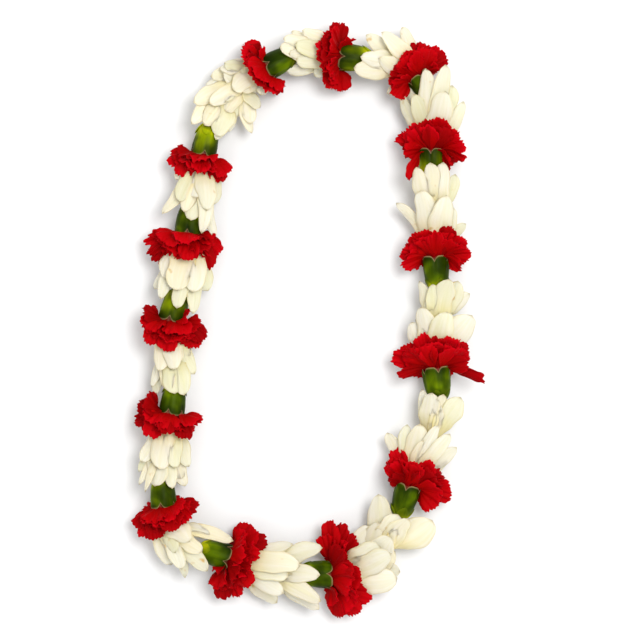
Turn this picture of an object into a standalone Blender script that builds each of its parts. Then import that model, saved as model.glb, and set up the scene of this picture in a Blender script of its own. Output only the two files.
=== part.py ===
"""A fresh flower lei, laid flat on a table.

Fourteen red carnations alternate with groups of white double tuberose florets on a knotted loop of
cotton string. Every flower faces the same way round the loop.

Each flower is first made standing up straight: the string runs up Z through its middle, +X is the
inside of the loop and +Y is the top. Then carry() lays it along the curve of the string. Flowers
that are nested without touching when the string is straight stay so when it bends.

Metres, +Z up. The table is z = 0, and the origin is under the middle of the loop.
"""

import math
from collections import namedtuple

import bmesh
import bpy
import numpy as np

MM = 0.001

# String, tied in a loop by its two ends
STRING_RADIUS = 0.6 * MM
STRING_SMOOTHNESS = 2
STRING_STEP = 7.0  # mm at most between two points of the string where it bends
STRING_HEIGHT = 19 * MM  # of its middle over the table
BORE = 1.1  # mm, radius of the needle hole through every flower

# Carnation, in mm from the cut end of its stem
CALYX_LENGTH = 24.0
HEART = 28.0  # where the tuberose in front of it is seated
STIFF_FROM = 8.0  # the string is straight from here to the end of the calyx
CALYX_SIDES = 10  # two for each tooth
TOOTH = 1.9  # mm that a tooth rises over the middle of the rim, and a notch lies under it
RUFFLE_SIDES = 16  # two for each ruffle
USUAL_SPREAD = 28.0  # radius in mm that the petal outline below is drawn for

# Tuberose floret
FLORET_SIDES = 12  # two for each petal
NOTCH_KEEPS = 0.45  # height of the notch between two petals, as a share of the petal
PETAL_WALL = 1.1  # mm
LONGEST_TUBE = 22.0  # mm; a floret that opens further on than this starts on the bare string

# The knot, behind one carnation whose stem is cut short to make room for it
KNOTTED = 13
KNOT_FROM = 1.2  # mm past where that carnation's stem would end
KNOT_RADIUS = 1.65
KNOT_PITCH = 1.6
KNOT_TURNS = 2
KNOT_STEPS = 10  # for each turn
KNOT_END = 2.6  # mm that each end sticks out

# One row for each carnation, in the order that they face each other round the loop. mouth is the
# middle of its calyx's rim in mm, facing the way that the calyx points in degrees from +X, turn how
# many degrees further the petals face, spread their radius in mm, and throats how far past its heart,
# in mm, each tuberose after it opens.
Carnation = namedtuple("Carnation", "mouth facing turn spread throats")
LEI = (
    Carnation((27, 196), 175, 5, 27, (8, 17)),
    Carnation((-29, 188), 208, 6, 26, (12, 28, 44)),
    Carnation((-78, 122), 258, 0, 25, (10, 20)),
    Carnation((-89, 62), 264, 4, 27, (12, 25)),
    Carnation((-102, -3), 256, 8, 26, (14, 30)),
    Carnation((-102, -74), 262, 0, 26, (14, 29)),
    Carnation((-108, -144), 273, 11, 26, (13, 26)),
    Carnation((-59, -183), 343, -6, 28, (15, 36)),
    Carnation((18, -196), 357, 6, 32, (14, 33, 52)),
    Carnation((77, -130), 74, -16, 29, (16, 50)),
    Carnation((98, -41), 97, -4, 31, (16, 42)),
    Carnation((98, 43), 93, 0, 28, (15, 39)),
    Carnation((95, 124), 91, 0, 29, (8, 18)),
    Carnation((85, 180), 124, -2, 27, (9, 20)),
)

COLOURS = {
    "carnation_red": ((0.48, 0.004, 0.008, 1), 0.6),
    "calyx_green": ((0.06, 0.16, 0.012, 1), 0.45),
    "tuberose_white": ((0.86, 0.84, 0.62, 1), 0.4),
    "cotton_string": ((0.80, 0.78, 0.70, 1), 0.85),
}


# ---------------------------------------------------------------- the curve of the string

SAMPLES = 60  # points on each stretch of the curve
HANDLE = 0.36  # of the distance between two stiff stretches: how strongly the curve keeps its course


def string_route():
    """Points along the loop in mm, the length of string up to each, and where each mouth comes."""
    points, mouths = [], []
    share = np.arange(SAMPLES)[:, None] / SAMPLES
    for here, after in zip(LEI, LEI[1:] + LEI[:1], strict=True):
        way, next_way = compass(here.facing), compass(after.facing)
        mouth, stiff = np.array(here.mouth), CALYX_LENGTH - STIFF_FROM
        points.append(mouth - way * stiff * (1 - share))
        mouths.append(len(points) * SAMPLES)
        end = np.array(after.mouth) - next_way * stiff
        reach = HANDLE * np.linalg.norm(end - mouth)
        corners = (mouth, mouth + way * reach, end - next_way * reach, end)
        weights = ((1 - share) ** 3, 3 * share * (1 - share) ** 2, 3 * share**2 * (1 - share), share**3)
        points.append(sum(w * c for w, c in zip(weights, corners, strict=True)))
    points = np.concatenate(points)
    steps = np.linalg.norm(np.roll(points, -1, axis=0) - points, axis=1)
    lengths = np.concatenate([[0.0], np.cumsum(steps)])
    return points, lengths, [lengths[index % len(points)] for index in mouths]


def compass(degrees):
    return np.array([math.cos(math.radians(degrees)), math.sin(math.radians(degrees))])


ROUTE, LENGTHS, MOUTHS = string_route()
LOOP = LENGTHS[-1]


def on_route(lengths):
    """Points on the route at these lengths of string, and the direction there."""
    lengths = np.mod(lengths, LOOP)
    closed = np.concatenate([ROUTE, ROUTE[:1]])
    way = np.roll(ROUTE, -1, axis=0) - np.roll(ROUTE, 1, axis=0)
    way = np.concatenate([way, way[:1]])
    way /= np.linalg.norm(way, axis=1)[:, None]
    spots = np.stack([np.interp(lengths, LENGTHS, closed[:, axis]) for axis in (0, 1)], axis=1)
    ways = np.stack([np.interp(lengths, LENGTHS, way[:, axis]) for axis in (0, 1)], axis=1)
    return spots, ways / np.linalg.norm(ways, axis=1)[:, None]


def carry(points, start):
    """Lays points of an upright flower along the string from start on; mm in, metres out."""
    spots, ways = on_route(start + points[:, 2])
    inward = np.stack([-ways[:, 1], ways[:, 0]], axis=1)
    flat = spots + inward * points[:, :1]
    height = STRING_HEIGHT / MM + points[:, 1]
    return np.column_stack([flat, height]) * MM


# ---------------------------------------------------------------- outlines, as (radius, height)


def calyx_outline(cut_short):
    """The green cup that holds the petals: down its outside, the stem end, and up inside."""
    outside = [(9.9, 25.5), (10.0, 20), (9.2, 14), (6.6, 8)]
    stem = [(4.6, 6.2), (BORE, 6.2)] if cut_short else [(3.7, 4.5), (2.7, -0.8), (BORE, -0.8)]
    bore = [(BORE, 8.0), (BORE, 11.2)] if cut_short else [(BORE, 3.6), (BORE, 8.0), (BORE, 11.2)]
    cavity = [(6.4, 11.8), (8.9, 20), (9.2, 25.5)]
    return outside + stem + bore + cavity


def ruffle_outline(spread):
    """The petals: their claws in the calyx, the underside, the rim, the dome and the heart."""
    wide = spread / USUAL_SPREAD
    claws = [(BORE, 11.7), (5.7, 12.3), (8.1, 28)]
    rim = [(14 * wide, 30), (24 * wide, 26.5), (28 * wide, 33), (25 * wide, 42.5)]
    heart = [(19.4, 49), (9.6, 36), (6.2, 32), (3.4, 27.0), (BORE, 26.6)]
    return claws + rim + heart


def floret_outline(throat):
    """A hollow tube, open into a cup of petals; throat is how far up the tube they open."""
    outside = [(18.5, throat + 21), (14.6, throat + 10), (8.7, throat + 3), (4.7, throat - 3)]
    base = [(2.8, -0.8), (BORE, -0.8), (BORE, 1.0), (2.0, 2.4)]
    inside = [(2.3, throat - 1.8), (3.3, throat - 1.2), (3.8, throat + 1.0)]
    cup = [(7.6, throat + 4.0), (13.4, throat + 10.7), (17.4, throat + 21.3)]
    return outside + base + inside + cup


# ---------------------------------------------------------------- making a piece


def turned(outline, sides):
    """A mesh: the closed outline, set up at +X and carried once round Z by a Screw modifier."""
    profile = bpy.data.meshes.new("profile")
    count = len(outline)
    edges = [(i, (i + 1) % count) for i in range(count)]
    profile.from_pydata([(r * MM, 0, z * MM) for r, z in outline], edges, [])
    guide = bpy.data.objects.new("profile", profile)
    bpy.context.scene.collection.objects.link(guide)
    screw = guide.modifiers.new("Turn", "SCREW")
    screw.steps = screw.render_steps = sides
    screw.use_merge_vertices = True
    screw.merge_threshold = 0.00001
    bpy.context.view_layer.update()
    graph = bpy.context.evaluated_depsgraph_get()
    mesh = bpy.data.meshes.new_from_object(guide.evaluated_get(graph))
    bpy.data.objects.remove(guide)
    bpy.data.meshes.remove(profile)
    return mesh


def corners_of(mesh):
    """The mesh's vertices in mm."""
    corners = np.empty(len(mesh.vertices) * 3)
    mesh.vertices.foreach_get("co", corners)
    return corners.reshape(-1, 3) / MM


def around(corners):
    """Radius, angle and height of each corner about Z."""
    return np.hypot(corners[:, 0], corners[:, 1]), np.arctan2(corners[:, 1], corners[:, 0]), corners[:, 2]


def at(radius, angle, height):
    return np.column_stack([radius * np.cos(angle), radius * np.sin(angle), height])


def finish(name, mesh, corners, look):
    """Sets the mesh's corners (metres) and look, and adds it to the lei under this name."""
    mesh.name = name
    mesh.vertices.foreach_set("co", corners.ravel())
    work = bmesh.new()
    work.from_mesh(mesh)
    bmesh.ops.recalc_face_normals(work, faces=work.faces)
    work.to_mesh(mesh)
    work.free()
    mesh.materials.append(material(look))
    mesh.shade_smooth()
    mesh.set_sharp_from_angle(angle=math.radians(50))
    piece = bpy.data.objects.new(name, mesh)
    bpy.data.collections["fresh_flower_lei"].objects.link(piece)


def material(look):
    """The finish of one kind of piece, made once and shared."""
    if look in bpy.data.materials:
        return bpy.data.materials[look]
    colour, roughness = COLOURS[look]
    made = bpy.data.materials.new(look)
    made.use_nodes = True
    shader = made.node_tree.nodes["Principled BSDF"]
    shader.inputs["Base Color"].default_value = colour
    shader.inputs["Roughness"].default_value = roughness
    shader.inputs["Metallic"].default_value = 0.0
    made.diffuse_color = colour
    return made


# ---------------------------------------------------------------- the pieces


def make_calyx(number, tail):
    """The calyx of one carnation, with its stem end at this length of string."""
    mesh = turned(calyx_outline(number == KNOTTED), CALYX_SIDES)
    radius, angle, height = around(corners_of(mesh))
    teeth = TOOTH * np.cos(5 * angle)
    height = np.where(height > CALYX_LENGTH, height + teeth, height)
    corners = carry(at(radius, angle, height), tail)
    finish(f"carnation_{number:02d}_calyx", mesh, corners, "calyx_green")


def make_petals(number, row, tail):
    """The ruffled petals of one carnation, as one soft body pressed flat where it meets the table."""
    mesh = turned(ruffle_outline(row.spread), RUFFLE_SIDES)
    radius, angle, height = around(corners_of(mesh))
    loose = np.clip((radius - 12) / 10, 0, 1)
    ripple = np.cos(RUFFLE_SIDES / 2 * angle)
    radius = radius * (1 + 0.05 * loose * ripple)
    height = height + 2.2 * loose * ripple
    height = height - loose * radius * np.cos(angle) * math.tan(math.radians(row.turn))
    corners = carry(at(radius, angle, height), tail)
    corners[:, 2] = np.maximum(corners[:, 2], 0)
    finish(f"carnation_{number:02d}_petals", mesh, corners, "carnation_red")


def make_floret(name, start, throat):
    """One tuberose floret from start on, with room for the next flower at its throat."""
    mesh = turned(floret_outline(throat), FLORET_SIDES)
    radius, angle, height = around(corners_of(mesh))
    cup = throat + 3.5
    inner = (height > cup) & (radius < wall_middle(height - throat))
    rise = np.maximum(height - cup, 0)
    keep = 1 - (1 - NOTCH_KEEPS) * (0.5 - 0.5 * np.cos(6 * angle))
    base = np.where(inner, 7.1, 9.2)
    radius = np.where(height > cup, base + (radius - base) * keep, radius)
    height = np.where(height > cup, cup + rise * keep, height)
    corners = carry(at(radius, angle, height), start)
    corners[:, 2] = np.maximum(corners[:, 2], np.where(inner, PETAL_WALL * MM, 0))
    finish(name, mesh, corners, "tuberose_white")


def wall_middle(height):
    """Radius of the middle of the petals' wall, this far past the throat."""
    return np.interp(height, [3.5, 10.3, 21.2], [8.2, 14.0, 17.95])


def make_string():
    """One closed ring through every flower, with more points where it bends."""
    stops = []
    for mouth, after in zip(MOUTHS, MOUTHS[1:] + [MOUTHS[0] + LOOP], strict=True):
        bend_end = after - (CALYX_LENGTH - STIFF_FROM)
        steps = math.ceil((bend_end - mouth) / STRING_STEP)
        stops += list(np.linspace(mouth, bend_end, steps + 1))
    middle = np.column_stack([np.zeros(len(stops)), np.zeros(len(stops)), stops])
    wire("lei_string", carry(middle, 0.0), closed=True)


def make_knot():
    """The string's two ends, wound round it and cut short: a barrel knot."""
    turn = np.linspace(0, 2 * np.pi * KNOT_TURNS, KNOT_TURNS * KNOT_STEPS + 1)
    coil = at(KNOT_RADIUS, turn, KNOT_FROM + KNOT_PITCH * turn / (2 * np.pi))
    first_end = coil[0] + [0, -KNOT_END, 0]
    last_end = coil[-1] + [0, KNOT_END, 0]
    path = np.concatenate([[first_end], coil, [last_end]])
    wire("string_knot", carry(path, MOUTHS[KNOTTED - 1] - CALYX_LENGTH), closed=False)


def wire(name, path, closed):
    """Round string along the path, as a bevelled curve."""
    curve = bpy.data.curves.new(name, "CURVE")
    curve.dimensions = "3D"
    curve.bevel_depth = STRING_RADIUS
    curve.bevel_resolution = STRING_SMOOTHNESS
    curve.use_fill_caps = not closed
    spline = curve.splines.new("POLY")
    spline.points.add(len(path) - 1)
    spline.points.foreach_set("co", np.column_stack([path, np.ones(len(path))]).ravel())
    spline.use_cyclic_u = closed
    curve.materials.append(material("cotton_string"))
    piece = bpy.data.objects.new(name, curve)
    bpy.data.collections["fresh_flower_lei"].objects.link(piece)


def main():
    """Clears the start-up scene and threads the lei."""
    for piece in list(bpy.data.objects):
        bpy.data.objects.remove(piece)
    lei = bpy.data.collections.new("fresh_flower_lei")
    bpy.context.scene.collection.children.link(lei)

    make_string()
    make_knot()
    for number, row in enumerate(LEI, start=1):
        tail = MOUTHS[number - 1] - CALYX_LENGTH
        make_calyx(number, tail)
        make_petals(number, row, tail)
        heart = tail + HEART
        places = ("rear", "front") if len(row.throats) == 2 else ("rear", "middle", "front")
        behind = 0.0
        for place, throat in zip(places, row.throats, strict=True):
            base = max(behind, throat - LONGEST_TUBE)
            make_floret(f"tuberose_{number:02d}_{place}", heart + base, throat - base)
            behind = throat


main()
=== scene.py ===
# %% [markdown]
# # A fresh flower lei, petal by petal
#
# A lei is a garland that is threaded and not tied. A long needle draws one cotton string through
# the heart of every flower, and the two ends are knotted. This one has fourteen red carnations,
# and between each two of them a few double tuberose florets, slipped one into the next. Laid on a
# table it makes a long oval, and all its flowers face the same way round.
#
# The construction model already holds each flower's place and size as plain closed bodies. Here
# those bodies are replaced with real petals. Every petal is a small curved surface, worked out as
# a function of how far up and how far across it a point lies.

# %% Load the frame
import math
from collections import namedtuple

import bpy
import numpy as np
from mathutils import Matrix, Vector


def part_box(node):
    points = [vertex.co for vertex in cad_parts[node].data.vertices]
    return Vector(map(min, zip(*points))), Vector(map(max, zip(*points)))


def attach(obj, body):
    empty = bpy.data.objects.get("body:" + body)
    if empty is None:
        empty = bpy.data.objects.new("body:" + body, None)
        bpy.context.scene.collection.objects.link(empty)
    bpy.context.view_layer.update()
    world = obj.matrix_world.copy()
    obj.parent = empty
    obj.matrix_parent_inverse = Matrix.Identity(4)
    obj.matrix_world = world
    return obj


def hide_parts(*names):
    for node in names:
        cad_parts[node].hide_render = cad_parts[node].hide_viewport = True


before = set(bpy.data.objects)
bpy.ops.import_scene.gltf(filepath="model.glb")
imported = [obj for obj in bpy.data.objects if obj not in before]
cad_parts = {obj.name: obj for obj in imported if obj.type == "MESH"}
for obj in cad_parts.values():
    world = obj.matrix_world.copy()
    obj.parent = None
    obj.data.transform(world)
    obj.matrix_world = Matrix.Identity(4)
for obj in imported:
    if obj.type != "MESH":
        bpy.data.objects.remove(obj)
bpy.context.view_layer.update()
MM = 0.001  # metres: all sizes below are in mm until they go into a mesh

# %% [markdown]
# ## The thread
#
# Everything hangs on the string, so its course comes first. It could be drawn as one smooth oval,
# but then every flower would stand at the same angle to it. A threaded carnation is stiff: the
# string runs straight through its calyx, and bends only among the soft tuberoses. So the course is
# given flower by flower. Each row says where the middle of one calyx's rim lies and which way it
# points, and a smooth curve joins one calyx to the next.

# %% The carnations' places
CALYX_LENGTH = 24.0  # mm, from the cut stem end to the rim
HEART = 28.0  # mm from the stem end: where the first tuberose is seated
STIFF_FROM = 8.0  # mm from the stem end: the string is straight from here to the rim
STRING_HEIGHT = 19.0  # mm over the table
KNOTTED = 13  # the carnation with the knot behind it

# Where the rim's middle is in mm and which way it faces in degrees, how far the neighbours turn the
# head, how far its petals reach, and the throats of the tuberoses after it in mm past its heart.
Carnation = namedtuple("Carnation", "mouth facing turn spread throats")
LEI = (
    Carnation((27, 196), 175, 5, 27, (8, 17)),
    Carnation((-29, 188), 208, 6, 26, (12, 28, 44)),
    Carnation((-78, 122), 258, 0, 25, (10, 20)),
    Carnation((-89, 62), 264, 4, 27, (12, 25)),
    Carnation((-102, -3), 256, 8, 26, (14, 30)),
    Carnation((-102, -74), 262, 0, 26, (14, 29)),
    Carnation((-108, -144), 273, 11, 26, (13, 26)),
    Carnation((-59, -183), 343, -6, 28, (15, 36)),
    Carnation((18, -196), 357, 6, 32, (14, 33, 52)),
    Carnation((77, -130), 74, -16, 29, (16, 50)),
    Carnation((98, -41), 97, -4, 31, (16, 42)),
    Carnation((98, 43), 93, 0, 28, (15, 39)),
    Carnation((95, 124), 91, 0, 29, (8, 18)),
    Carnation((85, 180), 124, -2, 27, (9, 20)),
)
print(len(LEI), "carnations and", sum(len(row.throats) for row in LEI), "tuberose florets")

# %% [markdown]
# The curve between two calyxes is a cubic Bezier curve, whose handles lie along the two directions.
# It is sampled once, with the length of string up to each sample, so that any flower can be placed
# by saying how many millimetres of string come before it.

# %% The course of the string
SAMPLES = 60  # on each stretch
HANDLE = 0.36  # of the distance between two stiff stretches


def compass(degrees):
    """The unit vector that points this way on the table: cosine, sine."""
    return np.array([math.cos(math.radians(degrees)), math.sin(math.radians(degrees))])


def string_route():
    """Points along the loop in mm, the length of string up to each, and where each rim comes.

    A straight run through each calyx, and then a Bezier curve: the sum of its four corners, each
    times its weight (1-t)^3, 3t(1-t)^2, 3t^2(1-t) or t^3.
    """
    points, mouths = [], []
    share = np.arange(SAMPLES)[:, None] / SAMPLES
    for here, after in zip(LEI, LEI[1:] + LEI[:1], strict=True):
        way, next_way = compass(here.facing), compass(after.facing)
        mouth, stiff = np.array(here.mouth), CALYX_LENGTH - STIFF_FROM
        points.append(mouth - way * stiff * (1 - share))
        mouths.append(len(points) * SAMPLES)
        end = np.array(after.mouth) - next_way * stiff
        reach = HANDLE * np.linalg.norm(end - mouth)
        corners = (mouth, mouth + way * reach, end - next_way * reach, end)
        weights = ((1 - share) ** 3, 3 * share * (1 - share) ** 2, 3 * share**2 * (1 - share), share**3)
        points.append(sum(w * c for w, c in zip(weights, corners, strict=True)))
    points = np.concatenate(points)
    steps = np.linalg.norm(np.roll(points, -1, axis=0) - points, axis=1)
    lengths = np.concatenate([[0.0], np.cumsum(steps)])
    return points, lengths, [lengths[index % len(points)] for index in mouths]


ROUTE, LENGTHS, MOUTHS = string_route()
LOOP = LENGTHS[-1]
print("one loop takes", round(LOOP), "mm of string")


def on_route(lengths):
    """Points on the route at these lengths of string, and the direction there."""
    lengths = np.mod(lengths, LOOP)
    closed = np.concatenate([ROUTE, ROUTE[:1]])
    way = np.roll(ROUTE, -1, axis=0) - np.roll(ROUTE, 1, axis=0)
    way = np.concatenate([way, way[:1]])
    way /= np.linalg.norm(way, axis=1)[:, None]
    spots = np.stack([np.interp(lengths, LENGTHS, closed[:, axis]) for axis in (0, 1)], axis=-1)
    ways = np.stack([np.interp(lengths, LENGTHS, way[:, axis]) for axis in (0, 1)], axis=-1)
    return spots, ways / np.linalg.norm(ways, axis=-1, keepdims=True)


# %% [markdown]
# The petals must stand where the construction model has its flowers. So each calyx's box is read from
# its body, and the course has to run well inside every side of it. It needn't run through the box's
# middle, because a calyx is narrow at its foot and wide at its rim, and may lie aslant.

# %% Course against construction
WELL_INSIDE = 5.0  # mm
MIDDLES = on_route(np.array(MOUTHS) - CALYX_LENGTH / 2)[0]
CORNERS = np.array([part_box(f"carnation_{number:02d}_calyx") for number in range(1, len(LEI) + 1)]) / MM
INSIDE = np.minimum(MIDDLES - CORNERS[:, 0, :2], CORNERS[:, 1, :2] - MIDDLES).min(axis=1)
print("the course runs at least", round(float(INSIDE.min()), 1), "mm inside every calyx's box")
print("string over the table:", sorted(set(CORNERS.mean(axis=1)[:, 2].round(1))), "mm")
assert INSIDE.min() > WELL_INSIDE, INSIDE

# %% [markdown]
# ## From an upright flower to the table
#
# Each flower is modelled standing up, which keeps its formulas short: Z runs up the string, X is
# the side that will face the middle of the loop, and Y the side that will face up. It is then laid
# down in one of two ways. Stiff flowers are turned as they are, and soft tubes follow the curve.
#
# Last, the table presses on what would lie under it. A hard cut at the table's height would leave
# flat plates with sharp edges. An exponential does it softly: it leaves a point alone above a small
# height, and below that lets it come ever closer to the table but never through it.

# %% Laying flowers down
SOFT = 5.0  # mm over the table where its pressure starts to show
LEAST = 0.3  # mm over the table that nothing goes below


def press(height):
    """Height as it is above SOFT; below, LEAST plus a part that dies away exponentially."""
    room = SOFT - LEAST
    return np.where(height > SOFT, height, LEAST + room * np.exp(np.minimum(height - SOFT, 0) / room))


def set_down(points, forward, spots, ways):
    """Upright points in mm on the table in metres, round these spots of the route.

    X goes to the inside of the loop, and forward along it. Y goes up, from the string's own height.
    """
    inward = np.stack([-ways[..., 1], ways[..., 0]], axis=-1)
    flat = spots + inward * points[..., :1] + ways * forward
    return np.concatenate([flat, press(STRING_HEIGHT + points[..., 1:2])], axis=-1) * MM


def lay(points, length):
    """Turns upright points (mm, Z from this length of string on) straight onto the table."""
    return set_down(points, points[..., 2:3], *on_route(np.array([float(length)])))


def carry(points, length):
    """Bends upright points (mm, Z from this length of string on) along the string's course."""
    return set_down(points, 0.0, *on_route(length + points[..., 2]))


print("heights of 0, 5 and 10 mm become", press(np.array([0.0, 5.0, 10.0])).round(1))

# %% [markdown]
# ## From a grid of points to a mesh
#
# A petal is thin but not a sheet of paper: it has a front, a back and an edge. One could model the
# sheet and add a Solidify modifier, but with hundreds of petals it is quicker to work out both
# sides at once. Many petals share one grid, so a whole flower is one array: petal, row, column.

# %% Petals with two sides and an edge


def grid(rows, columns):
    """Shares up from 0 to 1, as a column, and across from -1 to 1, as a row."""
    return np.linspace(0, 1, rows)[:, None], np.linspace(-1, 1, columns)[None]


def full_turn(count):
    """This many angles round a circle, as a row."""
    return np.linspace(0, 2 * np.pi, count, endpoint=False)[None]


def unit(vectors):
    """The same directions at length 1."""
    return vectors / np.maximum(np.linalg.norm(vectors, axis=-1, keepdims=True), 1e-9)


def both_sides(middle, thickness):
    """Front and back of each sheet: its middle, plus or minus half its thickness along the normal.

    The normal is the cross product of the slope along the columns and the slope along the rows.
    """
    normal = unit(np.cross(np.gradient(middle, axis=-2), np.gradient(middle, axis=-3)))
    half = normal * np.asarray(thickness)[..., None] / 2
    return middle + half, middle - half


def sheet_faces(rows, columns):
    """The faces of one closed sheet: its front, its back turned over, and the strip round them."""
    index = np.arange(rows * columns).reshape(rows, columns)
    here, right = index[:-1, :-1].ravel(), index[:-1, 1:].ravel()
    up, over = index[1:, :-1].ravel(), index[1:, 1:].ravel()
    front = np.column_stack([here, right, over, up])
    back = front[:, ::-1] + rows * columns
    round_it = np.concatenate([index[0, :-1], index[:-1, -1], index[-1, :0:-1], index[:0:-1, 0]])
    after = np.roll(round_it, -1)
    strip = np.column_stack([after, round_it, round_it + rows * columns, after + rows * columns])
    return np.concatenate([front, back, strip])


print("a sheet of 3 by 4 points has", len(sheet_faces(3, 4)), "faces, all round")

# %% [markdown]
# A skin is a set of points and faces, with what a finish needs to know at each point: how far across
# and along its petal it lies, from 0 to 1, and the tone of its petal.

# %% Skins
Skin = namedtuple("Skin", "points faces across along tone")


def petal_skin(front, back, tones):
    """All the petals of one flower as one skin: the faces of one sheet, numbered on for each."""
    petals, rows, columns = front.shape[:3]
    points = np.concatenate([front, back], axis=1).reshape(-1, 3)
    one = sheet_faces(rows, columns)
    count = 2 * rows * columns
    faces = (one[None] + np.arange(petals)[:, None, None] * count).reshape(-1, 4)
    along, across = np.meshgrid(np.linspace(0, 1, rows), np.linspace(0, 1, columns), indexing="ij")
    return Skin(
        points,
        faces,
        np.tile(across.ravel(), 2 * petals),
        np.tile(along.ravel(), 2 * petals),
        np.repeat(tones, count),
    )


def joined(skins):
    """Several skins as one."""
    starts = np.cumsum([0] + [len(skin.points) for skin in skins[:-1]])
    faces = [skin.faces + start for skin, start in zip(skins, starts, strict=True)]
    rest = [np.concatenate(parts) for parts in list(zip(*skins, strict=True))[2:]]
    return Skin(np.concatenate([skin.points for skin in skins]), np.concatenate(faces), *rest)


# %% [markdown]
# A cup, a tube or a string is a stack of rings, each joined to the next. Its ends are closed with a
# fan of triangles, unless its last ring comes back to its first.

# %% Tubes


def tube_skin(rings, tone=0.5, closed=False):
    """A closed skin over rings of points: shape (rings, sides, 3), with a fan over each end.

    A closed one is joined end to end, and has no fans.
    """
    count, sides = rings.shape[:2]
    index = np.arange(count * sides).reshape(count, sides)
    low = index if closed else index[:-1]
    high = np.roll(index, -1, axis=0) if closed else index[1:]
    walls = np.stack([low, np.roll(low, -1, axis=1), np.roll(high, -1, axis=1), high], axis=-1)
    points, faces = rings.reshape(-1, 3), [walls.reshape(-1, 4)]
    along = np.repeat(np.linspace(0, 1, count), sides)
    across = np.tile(np.linspace(0, 1, sides, endpoint=False), count)
    if not closed:
        ends = np.stack([rings[0].mean(axis=0), rings[-1].mean(axis=0)])
        first, last = count * sides, count * sides + 1
        points = np.concatenate([points, ends])
        turn, back = np.roll(index[0], -1), np.roll(index[-1], -1)
        faces.append(np.column_stack([turn, index[0], np.full(sides, first), np.full(sides, first)]))
        faces.append(np.column_stack([index[-1], back, np.full(sides, last), np.full(sides, last)]))
        along, across = np.append(along, [0, 1]), np.append(across, [0.5, 0.5])
    return Skin(points, np.concatenate(faces), across, along, np.full(len(points), tone))


# %% [markdown]
# Blender keeps a mesh as flat lists: the points, the point at each corner of each face, and the
# corner that each face starts at. Setting those lists directly is far quicker than adding faces one
# by one. A face of a fan names its last point twice, and becomes a triangle.

# %% A piece from its skin


def build(name, skin, finish):
    """Makes the mesh of one piece, with its UV map and its tone, and lets it replace its CAD body."""
    mesh = bpy.data.meshes.new(name)
    quads = skin.faces[:, 2] != skin.faces[:, 3]
    corners = skin.faces[np.column_stack([np.ones((len(quads), 3), bool), quads])]
    starts = np.concatenate([[0], np.cumsum(np.where(quads, 4, 3))[:-1]])
    mesh.vertices.add(len(skin.points))
    mesh.vertices.foreach_set("co", skin.points.astype(np.float32).ravel())
    mesh.loops.add(len(corners))
    mesh.loops.foreach_set("vertex_index", corners.astype(np.int32))
    mesh.polygons.add(len(quads))
    mesh.polygons.foreach_set("loop_start", starts.astype(np.int32))
    mesh.update(calc_edges=True)
    assert not mesh.validate(), name
    places = np.column_stack([skin.across, skin.along])[corners]
    mesh.uv_layers.new(name="UVMap").data.foreach_set("uv", places.astype(np.float32).ravel())
    tone = mesh.attributes.new("tone", "FLOAT", "POINT")
    tone.data.foreach_set("value", skin.tone.astype(np.float32))
    mesh.shade_smooth()
    mesh.materials.append(finish)
    piece = bpy.data.objects.new(name, mesh)
    bpy.context.scene.collection.objects.link(piece)
    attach(piece, "root")
    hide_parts(name)


# %% [markdown]
# ## Finishes
#
# A finish is a tree of nodes. Each node is made in the same three steps: make it, choose its settings,
# and then link its inputs or give them a number. So two helpers do that, and the finishes below can
# be read almost as formulas.

# %% Making nodes


def give(tree, socket, value):
    """Links the value to this socket if it is a socket too, and otherwise sets it."""
    if isinstance(value, bpy.types.NodeSocket):
        tree.links.new(value, socket)
    else:
        socket.default_value = (*value, 1) if socket.type == "RGBA" else value


def node(tree, kind, inputs=(), **settings):
    """A new shader node of this kind, with its settings, and its inputs by name or place."""
    made = tree.nodes.new("ShaderNode" + kind)
    for name, value in settings.items():
        setattr(made, name, value)
    for key, value in dict(inputs).items():
        give(tree, made.inputs[key], value)
    return made


def ramp(tree, factor, stops):
    """The colour at this factor on a ramp through (place, colour) stops."""
    made = node(tree, "ValToRGB", {"Fac": factor})
    elements = made.color_ramp.elements
    elements.remove(elements[-1])
    elements[0].position, elements[0].color = stops[0][0], (*stops[0][1], 1)
    for place, colour in stops[1:]:
        elements.new(place).color = (*colour, 1)
    return made.outputs["Color"]


MIX_FACTOR, MIX_ONE, MIX_TWO, MIX_COLOUR = 0, 6, 7, 2  # a Mix node's sockets for colours


def mixed(tree, factor, one, two, mode="MIX"):
    """One colour mixed with another by this factor."""
    inputs = {MIX_FACTOR: factor, MIX_ONE: one, MIX_TWO: two}
    return node(tree, "Mix", inputs, data_type="RGBA", blend_type=mode).outputs[MIX_COLOUR]


def times(tree, one, two):
    """One colour times another."""
    return mixed(tree, 1.0, one, two, "MULTIPLY")


# %% [markdown]
# Petals are never one flat colour. Fine streaks run from foot to tip, because the veins do, and
# each petal is a little lighter or darker than the next. Both effects are the same on red, white
# and green, so the streaks are one node group that every finish uses with its own numbers.

# %% The streaks that all petals share
SEED = 37.0  # how far apart two petals' tones put their streaks


def petal_map(tree):
    """How far across and along its petal a point lies, from 0 to 1, and the petal's tone."""
    parts = node(tree, "SeparateXYZ", {0: node(tree, "TexCoord").outputs["UV"]})
    return *list(parts.outputs)[:2], node(tree, "Attribute", attribute_name="tone").outputs["Fac"]


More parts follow.
